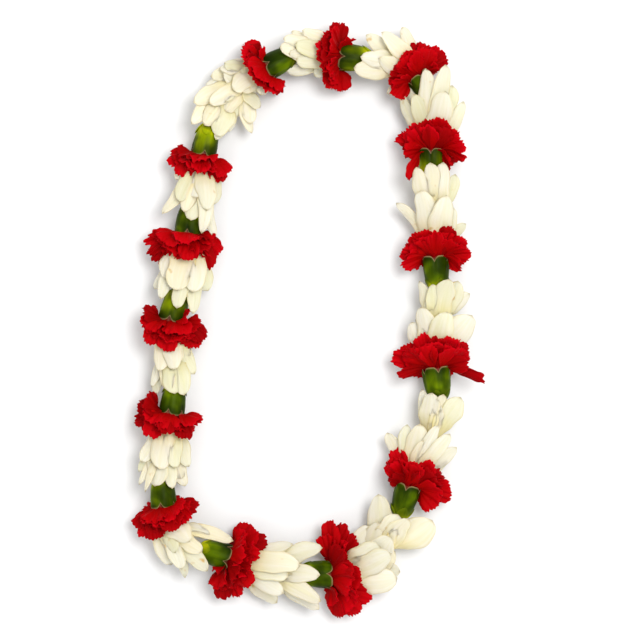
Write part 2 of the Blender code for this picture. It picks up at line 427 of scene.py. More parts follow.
def streaks_group():
    """Noise on the petal's own map, stretched along its length, as a mask and as a height.

    The noise is read at: across times Veins, along times Length, and tone times SEED.
    """
    group = bpy.data.node_groups.new("petal_streaks", "ShaderNodeTree")
    for name, way in (("Veins", "INPUT"), ("Length", "INPUT"), ("Mask", "OUTPUT"), ("Height", "OUTPUT")):
        group.interface.new_socket(name=name, in_out=way, socket_type="NodeSocketFloat")
    given, gives = group.nodes.new("NodeGroupInput"), group.nodes.new("NodeGroupOutput")
    factors = (given.outputs["Veins"], given.outputs["Length"], SEED)
    scaled = [
        node(group, "Math", {0: value, 1: factor}, operation="MULTIPLY").outputs[0]
        for value, factor in zip(petal_map(group), factors, strict=True)
    ]
    spot = node(group, "CombineXYZ", enumerate(scaled)).outputs[0]
    noise = node(group, "TexNoise", {"Vector": spot, "Scale": 1.0, "Detail": 3.0, "Roughness": 0.55})
    mask = node(group, "MapRange", {"Value": noise.outputs["Fac"], "From Min": 0.35, "From Max": 0.65})
    give(group, gives.inputs["Mask"], mask.outputs["Result"])
    give(group, gives.inputs["Height"], noise.outputs["Fac"])
    return group


STREAKS = streaks_group()

# %% [markdown]
# Every finish starts and ends alike. It starts with a colour that changes along the petal, times one
# for the petal's tone, and times another wherever a streak runs. It ends in the shader, whose
# constants are set on its own sockets, with the streaks' height as a bump.

# %% How every finish starts and ends
Base = namedtuple("Base", "material tree streaks across along tone")


def started(name, veins, length):
    """A new material, with streaks of its own, and the outputs that its finish starts from."""
    material = bpy.data.materials.new(name)
    material.use_nodes = True
    tree = material.node_tree
    streaks = node(tree, "Group", {}, node_tree=STREAKS)
    give(tree, streaks.inputs["Veins"], veins)
    give(tree, streaks.inputs["Length"], length)
    return Base(material, tree, streaks.outputs, *petal_map(tree))


def veined(base, by_length, by_tone, streak):
    """The colour along the petal, times the colour of its tone, and times streak where one runs."""
    tree = base.tree
    colour = times(tree, ramp(tree, base.along, by_length), ramp(tree, base.tone, by_tone))
    return mixed(tree, base.streaks["Mask"], colour, times(tree, colour, streak))


def patches(tree, scale, detail):
    """Noise in space, with this many patches to a metre, which pays no heed to the petals' edges."""
    place = node(tree, "TexCoord").outputs["Object"]
    return node(tree, "TexNoise", {"Vector": place, "Scale": scale, "Detail": detail}).outputs["Fac"]


def finished(base, colour, bump, depth, surface):
    """Gives the shader its colour, a bump of this strength and depth in mm, and its constants."""
    tree, shader = base.tree, base.tree.nodes["Principled BSDF"]
    inputs = {"Strength": bump, "Distance": depth * MM, "Height": base.streaks["Height"]}
    give(tree, shader.inputs["Normal"], node(tree, "Bump", inputs).outputs[0])
    give(tree, shader.inputs["Base Color"], colour)
    for name, value in surface.items():
        give(tree, shader.inputs[name], value)
    return base.material


# %% [markdown]
# Carnation red is deep and velvety. Light goes a little way into the petal and comes out redder,
# and the fine cells at the surface catch it at a low angle, as velvet does. The first is subsurface
# scattering, and the second is sheen. The foot of each petal, down in the calyx, is pale. Just above
# it the red is darkest, which is painted shade where the petals crowd into the heart, and it grows
# brighter out to the frilled edge.

# %% Carnation red


def carnation_red():
    """Red, darker where a streak runs and on petals of low tone."""
    base = started("carnation_red", veins=22.0, length=1.3)
    colour = veined(
        base,
        [
            # pale foot in the calyx, then darkest just above the rim as painted shade in the crowded heart
            (0.16, (0.50, 0.26, 0.12)), (0.27, (0.24, 0.0, 0.0)),
            (0.5, (0.35, 0.0, 0.0)), (1.0, (0.50, 0.0, 0.003)),
        ],
        [(0.0, (0.52, 0.4, 0.4)), (0.5, (0.86, 0.8, 0.8)), (1.0, (1.0, 1.0, 1.6))],
        (0.95, 0.90, 0.90),
    )
    return finished(base, colour, 0.06, 0.3, {
        "Roughness": 0.62, "Specular IOR Level": 0.03,
        "Subsurface Weight": 0.18, "Subsurface Radius": (1.0, 0.06, 0.05), "Subsurface Scale": 1.2 * MM,
        "Sheen Weight": 0.06, "Sheen Roughness": 0.45, "Sheen Tint": (1.0, 0.02, 0.05),
    })


RED = carnation_red()
print("carnation red:", len(RED.node_tree.nodes), "nodes")

# %% [markdown]
# Tuberose petals are thick and waxy, like the skin of a gardenia. They are cream, not white, with
# a tinge of yellow at the very tip, and yellow down in the throat that is partly their own colour
# and partly painted warm shade inside the tube. A thin darker band along each edge is painted shade,
# where one petal lies against the next. Here and there one is bruised, which shows tan. Much of their
# softness is light that has passed through the petal, so they scatter more and deeper than the
# carnation does.

# %% Tuberose white


def tuberose_white():
    """Cream, yellower at the throat and the tip, with a few bruises; the throat's yellow is partly painted
    warm shade, and a thin band of painted shade runs along each edge.
    """
    base = started("tuberose_white", veins=9.0, length=1.0)
    tree = base.tree
    colour = veined(
        base,
        [
            # The yellow at the foot is partly the throat's own colour and partly painted warm shade inside
            # the tube.
            (0.0, (0.68, 0.56, 0.28)), (0.3, (0.72, 0.655, 0.44)), (0.55, (0.70, 0.665, 0.555)),
            (0.94, (0.69, 0.665, 0.57)), (1.0, (0.66, 0.58, 0.38)),
        ],
        [(0.0, (0.93, 0.95, 0.78)), (0.5, (1.0, 1.0, 1.0)), (1.0, (1.04, 1.0, 0.88))],
        (0.95, 0.95, 0.84),
    )
    # Painted shade: a thin darker, warmer band along each edge, where one petal lies against the next.
    from_margin = node(tree, "Math", {0: base.across, 1: 0.5}, operation="PINGPONG").outputs[0]
    margin_shade = ramp(tree, from_margin, [(0.02, (0.97, 0.91, 0.76)), (0.09, (1.0, 1.0, 1.0))])
    spots = patches(tree, 95.0, 2.0)
    bruised = node(tree, "MapRange", {"Value": spots, "From Min": 0.69, "From Max": 0.78}).outputs["Result"]
    colour = mixed(tree, bruised, times(tree, colour, margin_shade), (0.55, 0.36, 0.12))
    return finished(base, colour, 0.3, 0.5, {
        "Roughness": 0.42, "Specular IOR Level": 0.12,
        "Subsurface Weight": 0.6, "Subsurface Radius": (0.75, 0.85, 1.0), "Subsurface Scale": 2.0 * MM,
    })


WHITE = tuberose_white()
print("tuberose white:", len(WHITE.node_tree.nodes), "nodes")

# %% [markdown]
# The calyx is a leaf, smooth and a little glossy. Its green runs from yellow at the stem to nearly
# black-green at the rim, partly its own darker green and partly painted shade under the petals that
# hang over it. Over that lie soft patches, partly the leaf's mottling and partly painted highlight and
# shade, and each tooth ends in a thin pale edge, dry as paper.

# %% Calyx green


def calyx_green():
    """Green, darker towards the rim, partly as painted shade, times soft patches of mottling and painted
    highlight, and dry at the tips of the teeth.
    """
    base = started("calyx_green", veins=26.0, length=1.1)
    tree = base.tree
    colour = veined(
        base,
        [
            # Near black at the rim: partly the leaf's own darker green, partly painted shade under the
            # overhanging petals.
            (0.0, (0.12, 0.16, 0.01)), (0.14, (0.08, 0.115, 0.002)),
            (0.38, (0.035, 0.065, 0.0)), (0.9, (0.010, 0.022, 0.0)),
        ],
        [(0.0, (0.5, 0.6, 0.5)), (0.5, (1.0, 1.0, 1.0)), (1.0, (2.2, 1.7, 1.2))],
        (1.35, 1.28, 1.1),
    )
    # Painted highlight and shade: soft patches from 0.6 to 3.1 times the green, partly the leaf's mottling.
    mottle_and_highlight = [(0.36, (0.6, 0.62, 0.6)), (0.5, (1.35, 1.25, 1.0)), (0.62, (3.1, 2.6, 1.1))]
    colour = times(tree, colour, ramp(tree, patches(tree, 70.0, 1.0), mottle_and_highlight))
    dry = ramp(tree, base.along, [(0.95, (0.0, 0.0, 0.0)), (1.0, (0.75, 0.75, 0.75))])
    colour = mixed(tree, dry, colour, (0.40, 0.27, 0.13))
    return finished(base, colour, 0.25, 0.3, {
        "Roughness": 0.4, "Specular IOR Level": 0.03,
        "Subsurface Weight": 0.08, "Subsurface Radius": (0.3, 1.0, 0.1), "Subsurface Scale": 1.5 * MM,
    })


GREEN = calyx_green()
print("calyx green:", len(GREEN.node_tree.nodes), "nodes")

# %% [markdown]
# The string is raw cotton: off-white, dull and fuzzy. Its streaks are spread along the whole loop, so
# their length is a large number.

# %% Cotton


def cotton():
    """Off-white, mixed with a duller one by the streaks."""
    base = started("cotton_string", veins=3.0, length=400.0)
    colour = mixed(base.tree, base.streaks["Mask"], (0.78, 0.75, 0.66), (0.55, 0.52, 0.43))
    return finished(base, colour, 0.5, 0.2, {"Roughness": 0.9})


COTTON = cotton()
print("cotton:", len(COTTON.node_tree.nodes), "nodes")

# %% [markdown]
# ## Aiming a petal
#
# It is hard to guess how far a curved petal must lean for its tip to come to a certain place, and easy
# to find by trying. Draw it straight there, see where the curved one ends, turn it by the angle that it
# is off and stretch it by what it falls short. A few rounds of that are enough.
#
# A petal that grows out to the side of a flower on its side would be seen from above on its edge. Real
# ones are twisted by the table and by their neighbours until they lie flatter, so each petal is also
# rolled about its middle line, by a share of the angle that would turn its back straight up.

# %% Aim and roll
AIM_ROUNDS = 8
STEEPEST = 0.2  # the least cosine of a lean that the roll counts with


def smooth(value):
    """0 below 0, 1 above 1, and 3t^2 - 2t^3 between."""
    value = np.clip(value, 0, 1)
    return value * value * (3 - 2 * value)


def roll_up(azimuth, lean):
    """The roll in degrees that turns the back of a petal straight up, on a flower on its side.

    It is the angle whose tangent is cos(azimuth) / (cos(lean) sin(azimuth)): nothing on top, and a
    quarter turn at the sides.
    """
    around, out = math.radians(azimuth), math.radians(lean)
    return -math.degrees(math.atan2(math.cos(around), max(math.cos(out), STEEPEST) * abs(math.sin(around))))


def aimed(tip, foot, least, face_up, ends):
    """Azimuth, lean, length and roll of a petal whose tip comes to this point, in degrees and mm.

    ends(lean, length) says how far out from its foot and how far up the curved petal ends. Its foot is
    foot mm from the stem, its tip at least that and least mm more, and face_up its share of the roll.
    """
    x, y, z = tip
    azimuth, target = math.degrees(math.atan2(y, x)), (max(math.hypot(x, y) - foot, least), z)
    lean, length = math.degrees(math.atan2(*target)), math.hypot(*target)
    for _ in range(AIM_ROUNDS):
        end = ends(lean, length)
        lean += math.degrees(math.atan2(*target) - math.atan2(*end))
        length *= math.hypot(*target) / max(math.hypot(*end), 1.0)
    return azimuth, lean, length, face_up * roll_up(azimuth, lean)


def rolled(sideways, off, degrees):
    """Turns a petal's cross-section, given as distances across it and out from it."""
    angle = np.radians(degrees)
    return sideways * np.cos(angle) - off * np.sin(angle), off * np.cos(angle) + sideways * np.sin(angle)


def stood_round(radial, sideways, height, azimuth):
    """Points this far out from the stem and this far across, turned to their azimuth round it."""
    turn = np.radians(azimuth)
    x = radial * np.cos(turn) - sideways * np.sin(turn)
    y = radial * np.sin(turn) + sideways * np.cos(turn)
    return np.stack([x, y, height], axis=-1)


STRAIGHT = aimed((15, 0, 20), 0, 0, 0, lambda lean, length: np.flip(compass(lean)) * length)
print("a straight petal to 15 out and 20 up leans and measures", np.round(STRAIGHT[1:3], 2))

# %% [markdown]
# ## The outline of a flower
#
# What one sees first of a flower is how far it sticks out, and where. So each is arranged as a
# florist would do it, with a list of the lobes that show at its outline: which way each points on the
# table, how far it reaches from the middle of the rim or the throat, and how wide it is. The petals
# that fill the flower stay within the outline that those lobes make.

# %% Lobes, and the outline between them
STRAY = 8.0  # mm: a lobe narrower than this stands out alone
PAST_LAST = 25.0  # degrees past its last lobes, where a flower's outline has drawn right in
DRAWN_IN = 0.4  # of its shortest lobe: how far it reaches there

Lobe = namedtuple("Lobe", "angle reach width")  # degrees from straight ahead, inward positive, and mm


def outline_at(lobes, angle):
    """How far a flower reaches on the table this way: read off between the tips of its broad lobes."""
    broad = [lobe for lobe in lobes if lobe.width >= STRAY] or lobes
    angles, reaches = zip(*sorted((lobe.angle, lobe.reach) for lobe in broad), strict=True)
    least = DRAWN_IN * min(reaches)
    angles = (angles[0] - PAST_LAST, *angles, angles[-1] + PAST_LAST)
    return float(np.interp(angle, angles, (least, *reaches, least)))


def within(lobes, x, z, share):
    """The spot (x, z), drawn in towards the middle if it lies past this share of the outline."""
    limit = share * outline_at(lobes, math.degrees(math.atan2(x, z)))
    scale = min(1.0, limit / max(math.hypot(x, z), 1.0))
    return x * scale, z * scale


# %% [markdown]
# ## Carnation petals
#
# A carnation petal is a fan on a narrow claw. The claw stands in the calyx, and the fan starts at
# its rim. Up the fan the petal grows faster than there is room for, so it ruffles, most at the edge,
# which is cut into fine teeth.
#
# A fan is most easily drawn in polar coordinates: a distance up the petal and an angle across it.
# The middle line of the petal leans out from the stem by an angle that grows just past the rim.
# Every point then moves off the fan along its normal: by waves that grow towards the edge, by a
# fold along the middle, and by a roll to one side.

# %% A petal's middle line
CLAW = 12.0  # mm of each petal that stand in the calyx
SPINE_STEPS = 60


def spine(lean, curl, length, bend):
    """Out and up along a petal's middle line, against the length along it, and its slope there.

    The slope turns from upright to lean degrees, starting bend mm below the rim, and by curl degrees
    more from there to the tip. Out is the sum of the slope's sines, and up of its cosines.
    """
    reach = np.linspace(0, CLAW + length * 1.25, SPINE_STEPS)
    slope = lean * smooth((reach - CLAW + bend) / 10) + curl * smooth((reach - CLAW) / length) ** 1.5
    slope, step = np.radians(slope), reach[1]
    out = np.concatenate([[0], np.cumsum(np.sin(slope[:-1]) * step)])
    up = np.concatenate([[0], np.cumsum(np.cos(slope[:-1]) * step)])
    return reach, out, up, slope


print("a petal of 20 mm that leans 60 degrees comes", spine(60, 0, 20, 4)[1].max().round(1), "mm out")

# %% [markdown]
# Two functions of the place on the fan give a petal its character: where its edge lies, and how far
# each point stands off the flat fan. Both grow towards the edge as a power of the distance up the
# blade: the higher the power, the closer to the edge the effect stays.

# %% A petal's edge and ruffles
PETAL_COLUMNS = 41
TOOTH = 2.3  # mm along the edge for each tooth
TOOTH_DEPTH = 1.7  # mm
RUFFLE = 4.6  # mm along the edge for each ruffle

# Which way round the stem it grows, its lean, length and roll, half of the fan's angle, how far its
# foot is from the stem, how much it folds, curls and waves, how much its corners draw in, and how far
# below the rim it starts to lean. Angles are in degrees and lengths in mm.
Fan = namedtuple("Fan", "azimuth lean length roll half foot fold curl wave round bend")


def fan_edge(fan, blade, across, arc, random):
    """How far from its claw each point of the fan lies.

    It is the petal's length, less what the edge draws in at the corners, give or take a few broad
    lobes, and less the teeth, which are zigzags of different depths that only the edge has.
    """
    count = max(4, min(round(arc / TOOTH), PETAL_COLUMNS // 2))
    depths = np.interp(across, np.linspace(-1, 1, count + 1), random.uniform(0.2, 1.3, count + 1))
    teeth = TOOTH_DEPTH * depths * np.abs((across + 1) / 2 * count % 1 - 0.5) * 2
    lobes = np.interp(across, np.linspace(-1, 1, 8), random.uniform(-1, 1, 8))
    edge = 1 - fan.round * np.abs(across) ** 3 + 0.05 * lobes
    return fan.length * blade * (1 + (edge - 1) * blade**1.5) - teeth * blade**5


def fan_ruffles(fan, blade, across, ruffles, random):
    """How far each point stands off the flat fan.

    It is the sum of two slow waves across the petal, a frill and finer pleats that only the edge has,
    a fold along the middle and a wave up the petal.
    """
    phase = random.uniform(0, 2 * np.pi, 5)
    waves = np.sin(1.7 * np.pi * across + phase[0] + 0.8 * blade)
    waves = waves + 0.5 * np.sin(3.9 * np.pi * across + phase[1] - 1.2 * blade)
    frill = 0.6 * np.sin(np.pi * ruffles * across + phase[2]) * blade**5
    pleats = 0.18 * np.sin(2.3 * np.pi * ruffles * across + phase[4]) * blade**7
    fold = fan.fold * np.abs(across) * fan.length * blade * 0.5
    rise = 0.5 * np.sin(phase[3] + 4 * blade) * blade
    return fan.wave * (blade**1.4 * waves + frill + pleats) + fold + rise


# %% [markdown]
# The rest is putting the two together: from the fan to distances up and across the petal, along its
# middle line, and round the stem to where the petal grows.

# %% One carnation petal
PETAL_ROWS = 10
CLAW_HALF = (1.6, 2.2)  # mm from a claw's middle to its side, at its foot and at its top


def carnation_petal(fan, random):
    """The middle surface of one petal, upright, as an array of rows by columns by 3."""
    up_it = np.concatenate([[0, 0.5], 1 + np.linspace(0, 1, PETAL_ROWS - 2) ** 0.85])[:, None]
    across = np.linspace(-1, 1, PETAL_COLUMNS)[None]
    claw, blade = np.minimum(up_it, 1) * CLAW, np.maximum(up_it - 1, 0)
    arc = 2 * math.radians(fan.half) * fan.length
    spread = fan_edge(fan, blade, across, arc, random)
    angle = np.radians(fan.half) * across
    sideways = np.interp(claw, (0, CLAW), CLAW_HALF) * across + spread * np.sin(angle)
    along = claw + spread * np.cos(angle)
    off = fan_ruffles(fan, blade, across, arc / RUFFLE, random)
    sideways, off = rolled(sideways, off, fan.roll * smooth(blade * 2.2))

    reach, out, up, slope = spine(fan.lean, fan.curl, fan.length, fan.bend)
    slope = np.interp(along, reach, slope)
    radial = fan.foot + np.interp(along, reach, out) + off * np.cos(slope)
    height = CALYX_LENGTH - CLAW + np.interp(along, reach, up) - off * np.sin(slope)
    return stood_round(radial, sideways, height, fan.azimuth)


# %% [markdown]
# No two heads on the string are alike: each has been squeezed between its neighbours and pressed on
# the table in its own way. One has a row of narrow fringes, another a single petal astray.

# %% The lobes of each head
ARRANGED = (
    ((-120, 15, 11), (-85, 27, 13), (-55, 22, 11), (-15, 21, 13), (20, 19, 13), (50, 19, 11), (80, 27, 20)),
    ((-110, 15, 4), (-80, 26, 14), (-55, 22, 14), (-15, 16, 14), (30, 17, 12), (60, 21, 10), (85, 22, 9)),
    ((-70, 24, 13), (-55, 26, 13), (-30, 24, 12), (5, 15, 11), (40, 25, 13), (60, 24, 12)),
    (
        (-85, 31, 4), (-75, 35, 4), (-65, 33, 3), (-60, 35, 4), (-50, 35, 5), (-40, 32, 5), (-80, 25, 10),
        (-60, 27, 12), (-40, 27, 13), (-15, 28, 14), (5, 20, 12), (30, 31, 11), (55, 28, 12), (75, 20, 9),
    ),
    ((-105, 22, 12), (-70, 22, 12), (-30, 24, 14), (0, 24, 12), (45, 29, 12), (65, 30, 12), (115, 15, 12)),
    (
        (-115, 24, 18), (-95, 27, 13), (-65, 29, 11), (-30, 23, 14), (-5, 15, 10), (35, 22, 11),
        (60, 20, 10), (85, 24, 8),
    ),
    ((-70, 28, 9), (-45, 29, 11), (-25, 25, 12), (10, 20, 12), (45, 22, 11), (75, 27, 9)),
    (
        (-120, 14, 6), (-95, 24, 11), (-75, 32, 12), (-50, 31, 10), (-20, 26, 12), (30, 24, 9),
        (45, 31, 14), (75, 31, 19),
    ),
    (
        (-80, 34, 12), (-60, 37, 14), (-30, 36, 15), (15, 19, 12), (50, 35, 12), (70, 40, 10),
        (85, 41, 12), (95, 32, 11),
    ),
    (
        (-90, 27, 15), (-70, 34, 11), (-55, 33, 11), (-35, 29, 12), (-10, 26, 12), (15, 21, 12),
        (50, 31, 11), (70, 25, 11), (90, 17, 10),
    ),
    (
        (-105, 37, 7), (-80, 25, 10), (-55, 31, 12), (-30, 29, 12), (-5, 25, 11), (20, 30, 12),
        (50, 31, 12), (70, 36, 11), (95, 29, 6),
    ),
    (
        (-115, 21, 11), (-85, 27, 12), (-55, 27, 14), (-25, 26, 11), (0, 20, 9), (25, 25, 12),
        (50, 27, 14), (75, 28, 12), (100, 27, 8),
    ),
    (
        (-135, 19, 11), (-105, 27, 4), (-75, 25, 14), (-45, 24, 12), (-10, 25, 14), (20, 23, 12),
        (45, 27, 14), (65, 30, 9), (90, 23, 10), (140, 29, 7),
    ),
    (
        (-85, 27, 10), (-70, 29, 11), (-45, 27, 12), (-25, 27, 12), (5, 27, 14), (30, 27, 12),
        (60, 23, 12), (100, 24, 12),
    ),
)
HEADS = [[Lobe(*lobe) for lobe in lobes] for lobes in ARRANGED]
print("lobes on each head:", [len(lobes) for lobes in HEADS])

# %% [markdown]
# Behind and between those lobes four whorls of petals fill the head. The guard petals outside lean
# far out, those inside stand ever steeper, and the ones in the middle crowd round the tuberose that
# is pushed into the heart. Every petal's tip lies on one dome, unless that would take it past the
# outline.
#
# The flower lies on its side, and that shapes it too. The petals on top fold forward over the face,
# those at the sides hang back beside the calyx, and those below are splayed by the table. So how far
# the guard petals lean is a function of the direction they grow in. On some heads the ones on top
# bulge out over the calyx's rim first and then curl forward, like a hood.

# %% Whorls and habits
# How many petals, their share of the guard petals' lean, how unlike each other they lean in degrees,
# and then the same as in a Fan.
Whorl = namedtuple("Whorl", "petals share jitter half foot curl wave round")
WHORLS = (
    Whorl(7, 1.0, 6, 44, 5.6, 5, 1.3, 0.34),
    Whorl(7, 0.78, 7, 42, 5.0, 4, 1.6, 0.28),
    Whorl(7, 0.53, 7, 39, 4.4, 2, 1.7, 0.24),
    Whorl(7, 0.34, 5, 34, 4.0, 0, 1.6, 0.22),
)
# How far the guard petals lean on top, at the sides and below, in degrees, how many mm below the rim
# they start to lean, and how many degrees the ones on top curl: less than none is forward.
Habit = namedtuple("Habit", "top side below bend hood")
HABITS = (
    Habit(44, 84, 85, 4, 0),
    Habit(62, 84, 80, 5, -10),
    Habit(68, 80, 66, 6, -30),
    Habit(64, 82, 72, 7, -40),
    Habit(60, 82, 76, 6, -35),
    Habit(60, 84, 80, 7, -50),
    Habit(70, 86, 76, 6, -35),
    Habit(56, 88, 84, 6, -20),
    Habit(52, 86, 86, 6, -10),
    Habit(36, 84, 100, 4, 0),
    Habit(34, 88, 118, 4, 0),
    Habit(33, 86, 116, 4, 0),
    Habit(32, 85, 116, 4, 0),
    Habit(34, 88, 108, 4, 0),
)


def lean_at(habit, azimuth):
    """The lean in this direction: a parabola in its height, through below, side and top."""
    up, ends = math.sin(math.radians(azimuth)), (habit.top + habit.below) / 2
    return habit.side + (habit.top - habit.below) / 2 * up + (ends - habit.side) * up**2


print("guard petals lean, on top:", [habit.top for habit in HABITS])

# %% [markdown]
# Every petal of a head is aimed by its tip. Where a lobe's tip comes on the table is given, and its
# height over the string is chosen so that it lies on the dome, or nearly. A whorl's petals are spread
# evenly round the stem, each a little off.

# %% The petals of one head
LOBE_FOOT = 5.4  # mm from the stem
LOBE_ROUND = 0.42  # of its length, by which a lobe's corners draw in
OVER_RIM = 12.0  # mm over the string: a petal this high clears the calyx as it folds back
FACE_UP = 0.8  # of the roll that turns a lobe's back straight up
FILL_UP = 0.35  # the same for the petals that fill the head
FILL_BEND = 4  # mm below the rim where the petals inside the guard petals start to lean
LEAST_OUT = 2.0  # mm from a petal's foot to its tip, seen along the stem
CROWDED = 14.0  # mm past the heart: a tuberose that opens before this pushes the petals out
PUSHED = 1.2  # degrees for each mm of that


def petal_to(tip, foot, curl, bend, face_up, **looks):
    """The Fan whose tip comes to this point, in mm from the middle of the rim."""

    def ends(lean, length):
        reach, out, up, _ = spine(lean, curl, length, bend)
        end = CLAW + length
        return float(np.interp(end, reach, out)), float(np.interp(end, reach, up)) - CLAW

    azimuth, lean, length, roll = aimed(tip, foot, LEAST_OUT, face_up, ends)
    return Fan(azimuth, lean, length, roll, foot=foot, curl=curl, bend=bend, **looks)


def lobe_fan(row, habit, lobe, random):
    """A petal at the outline, whose width sets its angle; its tip is on the dome, or nearly."""
    along, across = compass(lobe.angle)
    rise = math.sqrt(max(row.spread**2 - lobe.reach**2, 0)) * (0.55 + 0.45 * along)
    if along < -0.2:
        rise = max(rise, OVER_RIM)
    fan = petal_to(
        (lobe.reach * across, rise + random.uniform(0, 3), lobe.reach * along),
        LOBE_FOOT, random.uniform(-6, 12) + habit.hood * max(along, 0), habit.bend,
        FACE_UP * random.uniform(0.8, 1.1),
        half=0, fold=random.uniform(-0.1, 0.12), wave=random.uniform(0.9, 1.4), round=LOBE_ROUND,
    )
    return fan._replace(half=math.degrees(math.asin(min(0.8 * lobe.width / fan.length, 0.85))))


def whorl_fan(row, habit, lobes, whorl, azimuth, random):
    """A petal that fills the head: its tip is on the dome, drawn in to stay within the outline."""
    push = max(0.0, CROWDED - row.throats[0]) * PUSHED
    lean = whorl.share * lean_at(habit, azimuth) + push + random.uniform(-whorl.jitter, whorl.jitter)
    away, around = math.radians(lean), math.radians(azimuth)
    spread = row.spread * random.uniform(0.9, 1.0)
    x, z = spread * math.sin(away) * math.cos(around), spread * math.cos(away)
    x, z = within(lobes, x, z, random.uniform(0.78, 0.96) * min(1, 0.55 + 0.5 * whorl.share))
    half = whorl.half * random.uniform(0.85, 1.15)
    guard = whorl is WHORLS[0]
    hood = habit.hood * max(math.sin(around), 0) if guard else 0
    return petal_to(
        (x, spread * math.sin(away) * math.sin(around), z),
        whorl.foot, whorl.curl * random.uniform(-2, 3) + hood, habit.bend if guard else FILL_BEND,
        FILL_UP * random.uniform(0.5, 1.5), half=half,
        fold=random.uniform(-0.15, 0.2), wave=whorl.wave * random.uniform(0.7, 1.3), round=whorl.round,
    )


# %% [markdown]
# A head is put together from its lobes and its whorls. Then the whole of it is turned on its calyx, as
# its neighbours push it to one side, and laid on the table.

# %% A carnation's head
PETAL_THICKNESS = 0.35  # mm
NECK = 8.0  # mm round the stem that stay in the calyx when the head is turned


def turn_head(points, degrees):
    """Turns what stands out of the calyx about the vertical through its rim, the further the more."""
    x, y, z = points[..., 0], points[..., 1], points[..., 2]
    angle = np.radians(degrees) * smooth(np.maximum(z, np.hypot(x, y) - NECK) / 6)
    right, ahead = x * np.cos(angle) + z * np.sin(angle), z * np.cos(angle) - x * np.sin(angle)
    return np.stack([right, y, ahead], axis=-1)


def carnation_head(number, row, habit, lobes):
    """Every petal of one carnation, front and back, laid on the table."""
    random = np.random.default_rng(1000 + number)
    fans = [lobe_fan(row, habit, lobe, random) for lobe in lobes]
    for whorl in WHORLS:
        start = random.uniform(0, 360)
        for index in range(whorl.petals):
            azimuth = start + 360 * index / whorl.petals + random.uniform(-11, 11)
            fans.append(whorl_fan(row, habit, lobes, whorl, azimuth, random))
    petals = np.stack([carnation_petal(fan, random) for fan in fans])
    petals[..., 2] -= CALYX_LENGTH
    laid = lay(turn_head(petals, row.turn), MOUTHS[number - 1])
    return petal_skin(*both_sides(laid, PETAL_THICKNESS * MM), random.uniform(0, 1, len(petals)))


for number, (row, habit, lobes) in enumerate(zip(LEI, HABITS, HEADS, strict=True), start=1):
    build(f"carnation_{number:02d}_petals", carnation_head(number, row, habit, lobes), RED)
print("carnation petals:", sum(map(len, HEADS)) + len(LEI) * sum(whorl.petals for whorl in WHORLS))

# %% [markdown]
# ## The calyx
#
# Five green sepals are fused into a cup, and only their teeth are free. A cup turned on a lathe
# would be too regular, so the outline is turned but its radius dips in the groove between each two
# sepals, and its rim rises to a tooth in the middle of each and drops to a notch between them.

# %% The calyx
CALYX_PROFILE = (  # mm up from the cut stem end, and the radius there
    (0, 2.6), (1, 4.5), (3, 6.5), (6, 8.0), (11, 9.3), (17, 10.0), (23, 10.1), (26, 9.7), (28, 9.4),
)
CALYX_AROUND = 90
CALYX_ROWS = 24
INSIDE_ROWS = 14  # of those, the ones that are repeated down the inside
CALYX_WALL = 0.7  # mm
SEPALS = 5
TOOTH_TOP = 26.4  # mm over the cut stem end
NOTCH = 4.6  # mm from there down to the notches
HOODED = 0.035  # mm that the teeth are bent down by each degree that the petals curl over them
CUP_FOOT = 0.6  # mm
KNOT_ROOM = 6.4  # mm, where the knot takes the place of the cup's foot


def profile_at(height):
    """The calyx's radius at this height, read off between the profile's points."""
    return np.interp(height, *np.array(CALYX_PROFILE).T)


def ring(radius, angle, height):
    """Points round the stem: radius and height as given, at these angles."""
    radius, angle, height = np.broadcast_arrays(radius, angle, height)
    return np.stack([radius * np.cos(angle), radius * np.sin(angle), height], axis=-1)


def calyx_skin(number, hood):
    """Rings from the foot up the outside to the toothed rim, and down the inside.

    The radius is read off the profile, less a groove at each joint of two sepals. The height of a
    ring is its share of the rim's own height, which falls from each tooth's middle to the joint. One
    joint is near the top, so two teeth show from above.
    """
    random = np.random.default_rng(2000 + number)
    angle = full_turn(CALYX_AROUND)
    joint = np.pi / 2 + random.uniform(-0.3, 0.3)
    from_tooth = np.abs((SEPALS * (angle - joint) / (2 * np.pi)) % 1 - 0.5) * 2
    rim = TOOTH_TOP + HOODED * hood - NOTCH * from_tooth**4
    share = np.linspace(0, 1, CALYX_ROWS)[:, None] ** 0.9
    foot = KNOT_ROOM if number == KNOTTED else CUP_FOOT
    height = foot + (rim - foot) * share
    groove = 0.45 * np.exp(-(((1 - from_tooth) / 0.2) ** 2)) * smooth((height - 8) / 14)
    swell = 0.5 * np.sin(2 * angle + random.uniform(0, 6)) * smooth(height / 10)
    swell = swell + random.uniform(-0.6, 0.5) * smooth(height / 12)
    radius = profile_at(height) - groove + swell
    down = slice(None, -INSIDE_ROWS - 1, -1)
    wall = CALYX_WALL * smooth((1 - share[down]) * 12 + 0.2)
    rings = [ring(radius, angle, height), ring(radius[down] - wall, angle, height[down])]
    skin = tube_skin(np.concatenate(rings))
    along = np.repeat(np.concatenate([share, share[down]]), CALYX_AROUND)
    tone = np.full(len(skin.points), random.uniform(0.3, 0.75))
    return skin._replace(along=np.append(along, [0, 0.5]), tone=tone)


# %% [markdown]
# At its foot the calyx is held by four small scales in two pairs. They are paler than the cup, so
# they take their green from its lowest part only.

# %% Scales
SCALE_ROWS = 9
SCALE_LENGTH = 9.0  # mm
SCALE_HALF = 46  # degrees round the stem, from a scale's middle to its side
SCALE_THICKNESS = 0.45  # mm
SCALE_GREEN = 0.3  # of the way from the cup's foot to its rim


